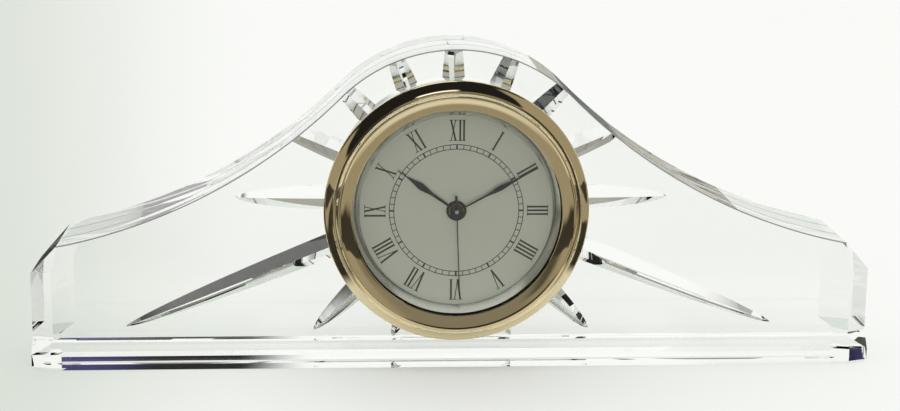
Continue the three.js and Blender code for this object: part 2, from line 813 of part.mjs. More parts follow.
function minuteHand() {
  const hole = cannonRadius - cannonSeatStep + pivotGap;
  const length = rehautInnerRadius - minuteTipGap;
  const [from, to] = [minuteHandFront, minuteHandBack];
  return lanceHand(length, minuteLeafShare, minuteBossRadius, hole, from, to, minuteAngle);
}

function secondHand() {
  const length = rehautInnerRadius - secondTipGap;
  const half = [
    [secondTailWidth / 2, -secondTailLength],
    [secondNeckWidth / 2, -minuteBossRadius],
    [secondShankWidth / 2, 0],
    [secondTipWidth / 2, length],
  ];
  const outline = [...half, ...half.map(([x, y]) => [-x, y]).reverse()];
  const [from, to] = [secondHandFront, secondHandBack];
  return plate(polygon(outline), from, to)
    .translate(0, 0, -clockHeight)
    .add(rod(minuteBossRadius, from, to, 20).translate(0, 0, -clockHeight))
    .subtract(rod(secondArborRadius + pivotGap, from - 1, to + 1, 16).translate(0, 0, -clockHeight))
    .rotate([0, secondAngle, 0])
    .translate(0, 0, clockHeight);
}

// Movement case

const arborPlaces = [thirdPlace, stepPlace, rotorPlace];

function caseOutline(inset) {
  const side = caseHalfWidth - inset;
  return roundedBox(-side, side, -caseBottom + inset, caseTop - inset, caseCorner - inset);
}

// An open box: a plate with walls round its edge.
function tray(plateFrom, plateTo, wallFrom, wallTo) {
  const walls = plate(caseOutline(0), wallFrom, wallTo, 3)
    .subtract(plate(caseOutline(caseWall), wallFrom - 1, wallTo + 1, 3));
  return walls.add(plate(caseOutline(0), plateFrom, plateTo, 3));
}

function drilled(body, holes) {
  let result = body;
  for (const [place, radius] of holes) {
    const segments = 4 * Math.ceil(2 * Math.sqrt(radius));
    result = result.subtract(rod(radius, caseFront - 1, rearBack + 1, segments, place));
  }
  return result;
}

const screwHoles = plateScrewPlaces.map((place) => [place, plateScrewRadius + runningGap]);
const pivotHoles = arborPlaces.map((place) => [place, arborRadius + pivotGap]);
const stemHole = [motionPlace, stemRadius + runningGap];

function movementFrontCover() {
  const centreHole = [handPlace, hourPipeRadius + runningGap];
  return drilled(tray(caseFront, motionFront, caseFront, motionBack), [...screwHoles, stemHole, centreHole]);
}

function movementMainPlate() {
  const centreHole = [handPlace, cannonRadius + runningGap];
  const body = plate(caseOutline(0), mainFront, mainBack, 3);
  return drilled(body, [...screwHoles, ...pivotHoles, stemHole, centreHole]);
}

function movementRearCover() {
  const centreHole = [handPlace, secondArborRadius + pivotGap];
  const body = tray(rearFront, rearBack, trainFront, rearBack);
  const cellWell = [cellPlace, cellRadius + seatGap];
  return drilled(body, [...screwHoles, ...pivotHoles, stemHole, centreHole, cellWell]);
}

function plateScrew(place) {
  const headFront = rearBack + runningGap;
  const slot = bar(3 * plateScrewHeadRadius, plateScrewSlot, headFront + plateScrewHead / 2, cupBack, place);
  return rod(plateScrewRadius, motionFront - plateScrewBite, headFront + plateScrewHead / 2, 10, place)
    .add(rod(plateScrewHeadRadius, headFront, headFront + plateScrewHead, 10, place))
    .subtract(slot);
}

// Motor and electronics

function stator() {
  const [rx, rz] = rotorPlace;
  const eye = rotorHoleRadius + statorEyeWall;
  const right = rx + eye + statorPastEye;
  const reach = coreLength / 2 + statorPastCore;
  const inside = reach - statorArm;
  const top = coilHeight + statorOverCoil;
  const [sx, sz] = stepPlace.map((value) => value + arborRadius + statorToStep);
  const outline = polygon([
    [-reach, top],
    [-reach, sz],
    [sx, sz],
    [sx, rz - eye],
    [right, rz - eye],
    [Math.max(reach, right), top],
    [inside, top],
    [inside, rz + eye],
    [-inside, rz + eye],
    [-inside, top],
  ]);
  const body = plate(outline, statorFront, statorFront + statorThickness);
  return body.subtract(rod(rotorHoleRadius, statorFront - 1, statorFront + 2, 20, rotorPlace));
}

const coilDepth = statorFront - seatGap - coreSize / 2;

// A square or round piece along the coil's level axis.
function acrossCoil(geometry) {
  return solid(geometry.translate(0, front + coilDepth, clockHeight + coilHeight));
}

function coilCore() {
  return acrossCoil(new THREE.BoxGeometry(coreLength, coreSize, coreSize));
}

const bobbinHole = coreSize + 2 * coreClearance;
const bobbinBarrel = bobbinHole + 2 * bobbinWall;
const windingRadius = coilRadius - windingGap;

function coilBobbin() {
  let body = acrossCoil(new THREE.BoxGeometry(coilLength, bobbinBarrel, bobbinBarrel));
  for (const side of [-1, 1]) {
    const flange = new THREE.BoxGeometry(bobbinFlange, 2 * windingRadius, 2 * windingRadius);
    body = body.add(acrossCoil(flange.translate((side * (coilLength - bobbinFlange)) / 2, 0, 0)));
  }
  return body.subtract(acrossCoil(new THREE.BoxGeometry(coilLength + 4, bobbinHole, bobbinHole)));
}

function coilWinding() {
  const length = coilLength - 2 * (bobbinFlange + windingGap);
  const hole = bobbinBarrel + 2 * windingGap;
  const outer = new THREE.CylinderGeometry(windingRadius, windingRadius, length, 20).rotateZ(Math.PI / 2);
  return acrossCoil(outer).subtract(acrossCoil(new THREE.BoxGeometry(length + 2, hole, hole)));
}

const boardFront = mainBack + stackGap;
const boardBack = boardFront + boardThickness;
const boardLeft = -caseHalfWidth + caseWall + stackGap;
const boardRight = plateScrewPlaces[2][0] - plateScrewHeadRadius - boardToScrew;
const boardTop = motionPlace[1] - stemRadius - boardToStem;
const boardBottom = -caseBottom + caseWall + boardToWall;
const cellFront = cupBack - cupBackWall - seatGap - cellThickness;

function circuitBoard() {
  const width = boardRight - boardLeft;
  const height = boardTop - boardBottom;
  return bar(width, height, boardFront, boardBack, [boardLeft + width / 2, boardBottom + height / 2]);
}

function quartzCan() {
  const can = new THREE.CylinderGeometry(canRadius, canRadius, canLength, 14).rotateZ(Math.PI / 2);
  const middle = (boardTop + boardBottom) / 2;
  const depth = boardBack + stackGap + canRadius;
  return solid(can.translate(boardRight - canLength / 2 - 1, front + depth, clockHeight + middle));
}

function batteryCell() {
  const back = cellFront + cellThickness;
  return turned([
    [0, cellFront],
    [cellRadius - cellEndInset, cellFront],
    [cellRadius - cellEndInset + cellEndBevel, cellFront + cellEndHeight],
    [cellRadius, cellFront + cellEndHeight + cellEndBevel],
    [cellRadius, back - cellEdge],
    [cellRadius - cellEdge, back],
    [0, back],
  ], 22, cellPlace);
}

// The spring leaf under the cell's small end, on a foot that stands on the board.
function contactNegative() {
  const [x, z] = cellPlace;
  const leafBack = cellFront - seatGap;
  const leafPlace = [x + leafReach - leafLength / 2, z];
  const footPlace = [x + leafReach, z];
  return bar(leafLength, leafWidth, leafBack - contactThickness, leafBack, leafPlace)
    .add(bar(contactThickness, leafWidth, boardBack + stackGap, leafBack, footPlace));
}

// The strip beside the cell's rim, standing on the board.
function contactPositive() {
  const [x, z] = cellPlace;
  const across = x - cellRadius - seatGap - contactThickness / 2;
  return bar(contactThickness, stripWidth, boardBack + stackGap, rearFront - pivotInset, [across, z]);
}

// Setting stem and knob

const knobFront = cupBack + seatGap;
const knobBack = knobFront + knobLength;

function settingStem() {
  return rod(stemRadius, caseFront + pivotInset, knobBack - knobCap - pivotInset, 16, motionPlace);
}

function settingKnob() {
  const outline = [];
  const perFlute = 3;
  for (let i = 0; i < knobFlutes * perFlute; i += 1) {
    const radius = knobRadius - (i % perFlute === 0 ? knobFluteDepth : 0);
    outline.push(polar(radius, (360 * i) / (knobFlutes * perFlute), motionPlace));
  }
  return plate(polygon(outline), knobFront, knobBack)
    .subtract(rod(stemRadius + pivotGap, knobFront - 1, knobBack - knobCap, 16, motionPlace));
}

// The clock

function mesh(name, body, color, roughness, metalness) {
  const { vertProperties, triVerts } = body.getMesh();
  const geometry = new THREE.BufferGeometry();
  geometry.setAttribute('position', new THREE.BufferAttribute(Float32Array.from(vertProperties), 3));
  geometry.setIndex(new THREE.BufferAttribute(Uint32Array.from(triVerts), 1));
  geometry.computeVertexNormals();
  const piece = new THREE.Mesh(geometry, new THREE.MeshStandardMaterial({ color, roughness, metalness }));
  piece.name = name;
  return piece;
}

const gold = [0xd9b877, 0.15, 1];
const steel = [0xb9bcbd, 0.3, 1];
const brass = [0xc9a24f, 0.3, 1];
const blackMetal = [0x101012, 0.35, 0.4];
const blackPlastic = [0x1b1b1d, 0.5, 0];
const whitePlastic = [0xe6e4dc, 0.5, 0];

const clock = new THREE.Group();
clock.add(
  mesh('crystal_block', crystalBlock(), 0xf1f5f0, 0.02, 0),
  mesh('bezel', bezel(), ...gold),
  mesh('lens_gasket', lensGasket(), ...blackPlastic),
  mesh('lens', rod(innerRadius, lensFront, lensFront + lensThickness, innerSegments), 0xf6faf8, 0.02, 0),
  mesh('rehaut', rehaut(), 0xa3a59c, 0.15, 1),
  mesh('dial', tube(innerRadius, dialHoleRadius, dialFront, dialBack, innerSegments), 0xa2a698, 0.35, 0.7),
  mesh('hour_hand', hourHand(), ...blackMetal),
  mesh('minute_hand', minuteHand(), ...blackMetal),
  mesh('second_hand', secondHand(), ...blackMetal),
  mesh('hour_wheel', hourWheel(), ...brass),
  mesh('cannon_pinion', cannonPinion(), ...brass),
  mesh('minute_wheel', minuteWheel(), ...whitePlastic),
  mesh('centre_wheel', centreWheel(), ...brass),
  mesh('third_wheel', thirdWheel(), ...whitePlastic),
  mesh('second_wheel', secondWheel(), ...steel),
  mesh('step_wheel', stepWheel(), ...whitePlastic),
  mesh('rotor_pinion', rotorPinion(), ...whitePlastic),
  mesh('rotor_magnet', rotorMagnet(), 0x4c4f52, 0.4, 0.8),
  mesh('stator', stator(), ...steel),
  mesh('coil_core', coilCore(), ...steel),
  mesh('coil_bobbin', coilBobbin(), ...whitePlastic),
  mesh('coil_winding', coilWinding(), 0xb26a36, 0.35, 0.9),
  mesh('circuit_board', circuitBoard(), 0x2f6b3c, 0.5, 0),
  mesh('quartz_can', quartzCan(), ...steel),
  mesh('battery_cell', batteryCell(), ...steel),
  mesh('contact_negative', contactNegative(), ...steel),
  mesh('contact_positive', contactPositive(), ...steel),
  mesh('movement_front_cover', movementFrontCover(), ...blackPlastic),
  mesh('movement_main_plate', movementMainPlate(), ...whitePlastic),
  mesh('movement_rear_cover', movementRearCover(), ...blackPlastic),
  mesh('cup', cup(), ...blackPlastic),
  mesh('grip_ring', gripRing(), 0x2a2a2a, 0.8, 0),
  mesh('battery_lid', batteryLid(), ...blackPlastic),
  mesh('setting_stem', settingStem(), ...steel),
  mesh('setting_knob', settingKnob(), ...blackPlastic),
);
plateScrewPlaces.forEach((place, i) => clock.add(mesh(`plate_screw_${i + 1}`, plateScrew(place), ...steel)));

export default clock;
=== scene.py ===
"""Looks of the crystal mantel clock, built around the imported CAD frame.

Metres, +Z up, +X to the right seen from the front, the dial faces -Y.
Sizes are written in millimetres and multiplied by MM; depths count from the block's front face.
"""

import json
import math

import bmesh
import bpy
import numpy as np
from mathutils import Matrix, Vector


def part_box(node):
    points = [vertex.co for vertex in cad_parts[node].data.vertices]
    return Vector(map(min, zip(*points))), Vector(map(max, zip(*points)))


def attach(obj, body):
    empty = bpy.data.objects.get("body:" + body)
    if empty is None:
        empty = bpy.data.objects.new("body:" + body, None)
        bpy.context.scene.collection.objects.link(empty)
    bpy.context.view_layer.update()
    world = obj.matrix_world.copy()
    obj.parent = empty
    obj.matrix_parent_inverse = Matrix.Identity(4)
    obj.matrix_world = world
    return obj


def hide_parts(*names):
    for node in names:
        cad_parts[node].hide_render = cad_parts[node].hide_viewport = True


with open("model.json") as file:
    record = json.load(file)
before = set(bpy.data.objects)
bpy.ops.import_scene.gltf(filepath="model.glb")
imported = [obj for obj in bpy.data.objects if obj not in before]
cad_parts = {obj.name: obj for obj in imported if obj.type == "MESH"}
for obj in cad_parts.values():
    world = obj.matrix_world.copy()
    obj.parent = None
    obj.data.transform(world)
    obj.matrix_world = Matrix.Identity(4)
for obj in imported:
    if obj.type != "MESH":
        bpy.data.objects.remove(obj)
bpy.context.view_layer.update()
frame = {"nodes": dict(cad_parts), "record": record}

MM = 0.001

# Block
block_low, block_high = (np.array(corner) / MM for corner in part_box("crystal_block"))
DEPTH = block_high[1] - block_low[1]
END_HALF_WIDTH = block_high[0]
FRONT = block_low[1]
END_FACE_HEIGHT = 25.4
SHOULDER_HALF_WIDTH = 105.0
SHOULDER_HEIGHT = 34.1
CROWN_RADIUS = 43.0
FLARE_RADIUS = 145.0
CLOCK_HEIGHT = block_high[2] - CROWN_RADIUS
BORE_RADIUS = 32.3
BORE_CHAMFER = 0.8

# Cutting
FRONT_BEVEL = (6.2, 5.4)
BACK_BEVEL = (9.6, 4.6)
PLINTH_BEVEL = (5.4, 2.0)
PLINTH_HEIGHT = 8.4
STOP_TILT = math.radians(30)
SHOULDER_RISE = 1.2
SHOULDER_TILT = math.radians(9)
BAND_GROOVE = (0.5, 0.3)
ARRIS = (0.5, 0.3)
PLINTH_GROOVE = 0.8
BACK_GROOVE = 0.9
BACK_GROOVE_HEIGHT = 3.4
FOOT_CHAMFER = (0.9, 0.9)
BACK_FOOT_BEVEL = (1.6, 0.7)
RAY_START = 24.0
RAY_SLOPE = math.radians(44)
RAY_FULLNESS = 0.6
RAY_ROWS = 15
# Each ray's angle above level, the distance of its tip from the bore's axis, and its width
RAYS = [
    (90, 49, 6.6),
    (67.5, 49, 6.6),
    (45, 50, 6.6),
    (22.5, 58, 6.8),
    (0, 59, 7.6),
    (-22, 96.5, 6.9),
    (-44.5, 53.5, 6.9),
    (-67.5, 42.8, 5.6),
]


# Mesh makers


def piece(name, points, faces, material, sharp=30.0):
    """A mesh object from points in millimetres, with edges sharp past an angle in degrees."""
    mesh = bpy.data.meshes.new(name)
    mesh.from_pydata((np.asarray(points, float) * MM).tolist(), [], [list(map(int, face)) for face in faces])
    tidy(mesh)
    obj = bpy.data.objects.new(name, mesh)
    bpy.context.collection.objects.link(obj)
    if material:
        mesh.materials.append(material)
    mesh.shade_smooth()
    mesh.set_sharp_from_angle(angle=math.radians(sharp))
    return obj


def tidy(mesh):
    """Merges double points, drops collapsed faces and turns the faces outwards."""
    work = bmesh.new()
    work.from_mesh(mesh)
    bmesh.ops.remove_doubles(work, verts=work.verts, dist=1e-7)
    bmesh.ops.dissolve_degenerate(work, edges=work.edges, dist=1e-8)
    bmesh.ops.recalc_face_normals(work, faces=work.faces)
    work.to_mesh(mesh)
    work.free()


def grid_faces(rows, columns, closed):
    """Quads over a grid of points whose rows are rings. Where it is closed, the last row joins the first."""
    i, j = np.meshgrid(np.arange(rows if closed else rows - 1), np.arange(columns), indexing="ij")
    a = i * columns + j
    b = i * columns + (j + 1) % columns
    c = (i + 1) % rows * columns + (j + 1) % columns
    d = (i + 1) % rows * columns + j
    return np.stack([a, b, c, d], -1).reshape(-1, 4).tolist()


def slab_faces(count):
    """Faces of a flat outline's front and back layers and its edge."""
    return grid_faces(2, count, False) + [list(range(count)), list(range(count, 2 * count))]


def turned_points(profile, segments):
    """Each profile point (radius, depth) goes round the front-to-back axis: x = r cos t, z = r sin t."""
    profile = np.array(profile, float)
    turn = np.arange(segments) * 2 * np.pi / segments
    radius, depth = profile[:, :1], profile[:, 1:]
    x = radius * np.cos(turn)
    y = FRONT + depth + 0 * turn
    z = CLOCK_HEIGHT + radius * np.sin(turn)
    return np.stack([x, y, z], -1)


def turned(name, profile, material, segments, sharp=30.0):
    """A turned piece, whose profile closes on itself or starts and ends on the axis."""
    points = turned_points(profile, segments)
    on_axis = profile[0][0] == 0 and profile[-1][0] == 0
    faces = grid_faces(len(profile), segments, not on_axis)
    return piece(name, points.reshape(-1, 3), faces, material, sharp)


def prism(name, outline, low, high, material):
    """An outline of (x, z) points drawn straight back from depth low to depth high."""
    outline = np.array(outline, float)
    count = len(outline)
    points = [np.column_stack([outline[:, 0], np.full(count, FRONT + y), outline[:, 1]]) for y in (low, high)]
    return piece(name, np.vstack(points), slab_faces(count), material)


def box_points(centre, size):
    """The eight corners of a level box."""
    signs = np.array([[x, y, z] for x in (-1, 1) for y in (-1, 1) for z in (-1, 1)])
    return np.array(centre) + signs * np.array(size) / 2


BOX_FACES = [[0, 1, 3, 2], [4, 6, 7, 5], [0, 4, 5, 1], [2, 3, 7, 6], [0, 2, 6, 4], [1, 5, 7, 3]]


def cut(body, cutter):
    """Takes the cutter out of the body and deletes it."""
    step = body.modifiers.new("cut", "BOOLEAN")
    step.operation = "DIFFERENCE"
    step.solver = "EXACT"
    step.object = cutter
    bpy.context.view_layer.update()
    depsgraph = bpy.context.evaluated_depsgraph_get()
    mesh = bpy.data.meshes.new_from_object(body.evaluated_get(depsgraph))
    body.modifiers.clear()
    body.data = mesh
    bpy.data.objects.remove(cutter)


# Crystal block


def hat_line(flare_steps=60, crown_steps=120):
    """The top from the right shoulder to the left: a concave arc, the crown's arc and the concave arc again.

    The flare's centre lies where it touches the crown from outside and passes through the shoulder.
    """
    reach = CROWN_RADIUS + FLARE_RADIUS
    dx, dz = SHOULDER_HALF_WIDTH, SHOULDER_HEIGHT - CLOCK_HEIGHT
    span = math.hypot(dx, dz)
    along = (reach**2 - FLARE_RADIUS**2 + span**2) / (2 * span)
    across = math.sqrt(reach**2 - along**2)
    fx = (along * dx - across * dz) / span
    fz = CLOCK_HEIGHT + (along * dz + across * dx) / span
    join = math.atan2(fz - CLOCK_HEIGHT, fx)
    start = math.atan2(SHOULDER_HEIGHT - fz, SHOULDER_HALF_WIDTH - fx)
    turn = np.linspace(start, join - np.pi, flare_steps, endpoint=False)
    right = np.column_stack([fx + FLARE_RADIUS * np.cos(turn), fz + FLARE_RADIUS * np.sin(turn)])
    turn = np.linspace(join, np.pi - join, crown_steps + 1)
    crown = np.column_stack([CROWN_RADIUS * np.cos(turn), CLOCK_HEIGHT + CROWN_RADIUS * np.sin(turn)])
    left = right[::-1] * [-1, 1]
    return np.vstack([right, crown, left])


def beyond(point, normal):
    """Everything past a plane: a large box that stands on it."""
    size = 4 * END_HALF_WIDTH
    normal = np.array(normal, float) / np.linalg.norm(normal)
    side = np.cross(normal, [0, 0, 1.0])
    side /= np.linalg.norm(side)
    up = np.cross(side, normal)
    corners = box_points((0, 0, size / 2), (size, size, size))
    return piece("cutter", np.array(point) + corners @ np.array([side, up, normal]), BOX_FACES, None)


def half_space(top):
    """Everything above the plinth's line, or everything below it."""
    size = 8 * END_HALF_WIDTH
    middle = PLINTH_HEIGHT + (size if top else -size)
    return piece("cutter", box_points((0, 0, middle), (2 * size, 2 * size, 2 * size)), BOX_FACES, None)


def leaned(normal, tilt):
    """An upright plane's outward direction, tilted up, or down where the tilt is negative."""
    return normal * math.cos(tilt) + np.array([0, 0, math.sin(tilt)])


def foot_cut(point, normal, bevel):
    """The bevel along the foot of one wall, given a point on the wall and its outward direction."""
    height, depth = bevel
    return beyond(point + np.array([0, 0, height]), leaned(normal, -math.atan2(depth, height)))


def corner_cutters(side_x, side_y):
    """One upright corner: the plinth's bevel with the chamfer at its foot, the deeper bevel above it, the stop
    facet between the two and the leaning facet at the shoulder."""

    def edge(bevel):
        width, depth = bevel
        return (np.array([side_x * END_HALF_WIDTH, side_y * (DEPTH / 2 - depth), 0]),
                np.array([side_x * depth, side_y * width, 0]) / math.hypot(width, depth))

    low_point, low_normal = edge(PLINTH_BEVEL)
    high_point, high_normal = edge(FRONT_BEVEL if side_y < 0 else BACK_BEVEL)
    yield beyond(low_point, low_normal)
    yield foot_cut(low_point, low_normal, FOOT_CHAMFER)
    high = beyond(high_point, high_normal)
    cut(high, half_space(False))
    yield high
    stop = beyond(high_point + [0, 0, PLINTH_HEIGHT], leaned(high_normal, STOP_TILT))
    cut(stop, half_space(True))
    yield stop
    yield beyond(high_point + [0, 0, END_FACE_HEIGHT + SHOULDER_RISE], leaned(high_normal, SHOULDER_TILT))


def band_groove(line, depth, size):
    """A V groove swept along the hat line: its section is a triangle with the point down."""
    width, deep = size
    rise = 0.5
    reach = width / 2 * (deep + rise) / deep
    tangent = np.gradient(line, axis=0)
    tangent /= np.linalg.norm(tangent, axis=1, keepdims=True)
    out = np.column_stack([tangent[:, 1], -tangent[:, 0]])
    section = [(-deep, 0), (rise, reach), (rise, -reach)]
    points = np.stack([
        np.column_stack([line[:, 0] + out[:, 0] * up, np.full(len(line), FRONT + depth + back),
                         line[:, 1] + out[:, 1] * up])
        for up, back in section
    ], 1)
    last = 3 * (len(line) - 1)
    faces = grid_faces(len(line), 3, False) + [[0, 1, 2], [last, last + 1, last + 2]]
    return piece("cutter", points.reshape(-1, 3), faces, None)


def groove_bar(length, width, place):
    """A square bar on its edge, sunk to its diagonal, which cuts a V groove in a face."""
    side = width / math.sqrt(2)
    corners = box_points((0, 0, 0), (length, side, side))
    roll = np.array(Matrix.Rotation(math.pi / 4, 3, "X"))
    return piece("cutter", corners @ roll.T + np.array(place), BOX_FACES, None)


def ray_blade(angle, tip, width):
    """A four-sided blade half sunk in the back face. With s the share of the way from the tip to the inner
    end, its half width is width / 2 times (1 - (1 - s)^2) to the power RAY_FULLNESS."""
    share = np.linspace(1, 0, RAY_ROWS) ** 2
    distance = tip - (tip - RAY_START) * share
    half = width / 2 * (1 - (1 - share) ** 2) ** RAY_FULLNESS
    turn = math.radians(angle)
    along = np.array([math.cos(turn), 0, math.sin(turn)])
    across = np.array([-math.sin(turn), 0, math.cos(turn)])
    into = np.array([0, -math.tan(RAY_SLOPE), 0])
    centre = np.array([0, DEPTH / 2, CLOCK_HEIGHT]) + distance[:, None] * along
    points = np.stack([centre + half[:, None] * way for way in (across, into, -across, -into)], 1)
    faces = grid_faces(len(share), 4, False) + [[0, 1, 2, 3]]
    return piece("cutter", points.reshape(-1, 3), faces, None)


def off_line(points, line):
    """How far each flat point lies from a run of straight lines: the least distance to any of its pieces."""
    step = np.diff(line, axis=0)
    away = points[:, None] - line[:-1]
    share = np.clip((away * step).sum(2) / (step**2).sum(1), 0, 1)
    return np.linalg.norm(away - share[..., None] * step, axis=2).min(1)


def crystal_block(*materials):
    """The hat-shaped prism with its corner cuts, grooves, sunburst and bore."""
    line = hat_line()
    outline = np.vstack([[END_HALF_WIDTH, 0], [END_HALF_WIDTH, END_FACE_HEIGHT], line,
                         [-END_HALF_WIDTH, END_FACE_HEIGHT], [-END_HALF_WIDTH, 0]])
    block = prism("crystal_block_cut", outline, 0, DEPTH, materials[0])
    for side_x in (-1, 1):
        for side_y in (-1, 1):
            for cutter in corner_cutters(side_x, side_y):
                cut(block, cutter)
    for angle, tip, width in RAYS:
        cut(block, ray_blade(angle, tip, width))
        if angle < 90:
            cut(block, ray_blade(180 - angle, tip, width))
    run = END_HALF_WIDTH - SHOULDER_HALF_WIDTH
    rise = SHOULDER_HEIGHT - END_FACE_HEIGHT
    extra = 0.2
    overrun = np.array([END_HALF_WIDTH + extra * run, END_FACE_HEIGHT - extra * rise])
    swept = np.vstack([overrun, line, overrun * [-1, 1]])
    for share, size in ((0, ARRIS), (1 / 3, BAND_GROOVE), (2 / 3, BAND_GROOVE), (1, ARRIS)):
        cut(block, band_groove(swept, DEPTH * share, size))
    long = 2 * END_HALF_WIDTH
    half = DEPTH / 2
    cut(block, groove_bar(long, PLINTH_GROOVE, (0, -half, PLINTH_HEIGHT)))
    cut(block, groove_bar(long, BACK_GROOVE, (0, half, BACK_GROOVE_HEIGHT)))
    for side in (-1, 1):
        cut(block, foot_cut(np.array([side * END_HALF_WIDTH, 0, 0]), np.array([side, 0, 0]), FOOT_CHAMFER))
        bevel = FOOT_CHAMFER if side < 0 else BACK_FOOT_BEVEL
        cut(block, foot_cut(np.array([0, side * half, 0]), np.array([0, side, 0]), bevel))
    rim = [(BORE_RADIUS, DEPTH - BORE_CHAMFER), (BORE_RADIUS + 2 * BORE_CHAMFER, DEPTH + BORE_CHAMFER)]
    bore = [(0, -1), (BORE_RADIUS, -1), *rim, (0, DEPTH + BORE_CHAMFER)]
    cut(block, turned("cutter", bore, None, 180))
    tidy(block.data)
    block.data.materials.clear()
    for face_material in materials:
        block.data.materials.append(face_material)
    # The bore's wall and the four grooves are ground, and everything else is polished. The grooves' glass is also
    # coloured dark grey: painted shade for the dark lines that the grooves show.
    centres = np.array([face.center for face in block.data.polygons]) / MM
    facing = np.array([face.normal for face in block.data.polygons])
    x, y, z = centres.T
    in_bore = (np.hypot(x, z - CLOCK_HEIGHT) < BORE_RADIUS + 0.01) & (np.abs(y) < half - 0.05)
    sunk = off_line(centres[:, [0, 2]], swept)
    aside = np.abs(y[:, None] - half * np.array([-1, -1 / 3, 1 / 3, 1])).min(1)
    in_groove = (sunk > 0.03) & (sunk < ARRIS[1] + 0.1) & (aside < ARRIS[0]) & (np.abs(facing[:, 1]) < 0.95)
    block.data.polygons.foreach_set("material_index", (in_bore + 2 * in_groove).astype(np.int32))
    block.data.shade_smooth()
    block.data.set_sharp_from_angle(angle=math.radians(9))
    return block


# Finishes


class Nodes:
    """Short ways to add the nodes of one material or world."""

    def __init__(self, owner):
        owner.use_nodes = True
        self.tree = owner.node_tree
        self.tree.nodes.clear()

    def add(self, kind, *ordered, **named):
        """A new node, with its inputs put in order or by name."""
        node = self.tree.nodes.new("ShaderNode" + kind)
        for socket, value in zip(node.inputs, ordered):
            self.put(socket, value)
        for name, value in named.items():
            self.put(node.inputs[name.replace("_", " ")], value)
        return node

    def put(self, socket, value):
        """Links the socket to another one, or sets it: a tuple is a colour, a list any other vector."""
        if isinstance(value, bpy.types.NodeSocket):
            self.tree.links.new(value, socket)
        elif isinstance(value, tuple):
            socket.default_value = (*value, 1)
        else:
            socket.default_value = value

    def maths(self, operation, *values):
        """One step of arithmetic."""
        node = self.tree.nodes.new("ShaderNodeMath")
        node.operation = operation
        for socket, value in zip(node.inputs, values):
            self.put(socket, value)
        return node.outputs[0]

    def between(self, source, low, high):
        """0 below low, 1 above high, and a smooth step between them."""
        node = self.add("MapRange", Value=source, From_Min=low, From_Max=high)
        node.interpolation_type = "SMOOTHSTEP"
        return node.outputs["Result"]

    def window(self, source, low, high, soft):
        """1 between low and high, with soft edges."""
        rise = self.between(source, low - soft, low + soft)
        fall = self.between(source, high - soft, high + soft)
        return self.maths("MULTIPLY", rise, self.maths("SUBTRACT", 1.0, fall))

    def mixed(self, factor, a, b):
        """Colour a where the factor is 0, and colour b where it is 1."""
        node = self.tree.nodes.new("ShaderNodeMix")
        node.data_type = "RGBA"
        self.put(node.inputs["Factor"], factor)
        self.put(node.inputs["A"], a)
        self.put(node.inputs["B"], b)
        return node.outputs["Result"]


NOISE_DETAIL = 4
ROUGHNESS_SPREAD = 0.2
DIMMED = (0.90, 0.92, 0.90)


def finish(slot, colour, metallic, roughness, grain, bump, spread=0.06, stretch=(1, 1, 1)):
    """A Principled finish whose colour, roughness and height vary with noise over Object coordinates.

    grain is in noise cells per metre, and stretch scales them along each axis, as for a brushed face. bump is
    in millimetres, and spread is the share by which the colour varies.
    """
    material = bpy.data.materials.new(slot)
    nodes = Nodes(material)
    place = nodes.add("TexCoord").outputs["Object"]
    stretched = nodes.add("Mapping", Vector=place, Scale=list(stretch)).outputs["Vector"]
    noise = nodes.add("TexNoise", Vector=stretched, Scale=grain, Detail=NOISE_DETAIL).outputs["Fac"]
    tint = np.array(colour)
    darker, lighter = tint * (1 - spread), np.minimum(tint * (1 + spread), 1)
    rough = nodes.add("MapRange", Value=noise, To_Min=roughness * (1 - ROUGHNESS_SPREAD),
                      To_Max=roughness * (1 + ROUGHNESS_SPREAD)).outputs["Result"]
    shader = nodes.add("BsdfPrincipled", Base_Color=nodes.mixed(noise, tuple(darker), tuple(lighter)),
                       Metallic=metallic, Roughness=rough)
    if bump:
        height = nodes.add("Bump", Strength=1.0, Distance=bump * MM, Height=noise)
        nodes.put(shader.inputs["Normal"], height.outputs["Normal"])
    nodes.add("OutputMaterial", Surface=shader.outputs["BSDF"])
    return material


def glass(slot, colour, index, roughness=0.0, clearness=1.0):
    """Glass, polished or ground: what isn't clear scatters the light in the glass's colour. Shadow rays and
    diffuse rays go straight through, a little dimmed, so that light reaches the dial and the paper."""
    material = bpy.data.materials.new(slot)
    nodes = Nodes(material)
    shader = nodes.add("BsdfPrincipled", Base_Color=colour, Roughness=roughness, IOR=index,
                       Transmission_Weight=clearness)
    through = nodes.add("BsdfTransparent", Color=DIMMED)
    path = nodes.add("LightPath").outputs
    passing = nodes.maths("MAXIMUM", path["Is Shadow Ray"], path["Is Diffuse Ray"])
    blend = nodes.add("MixShader", passing, shader.outputs["BSDF"], through.outputs["BSDF"])
    nodes.add("OutputMaterial", Surface=blend.outputs["Shader"])
    return material


crystal = glass("crystal", (0.985, 1.0, 0.985), 1.55)
ground_bore = glass("ground_bore", (0.90, 0.92, 0.89), 1.55, 0.5, 0.3)
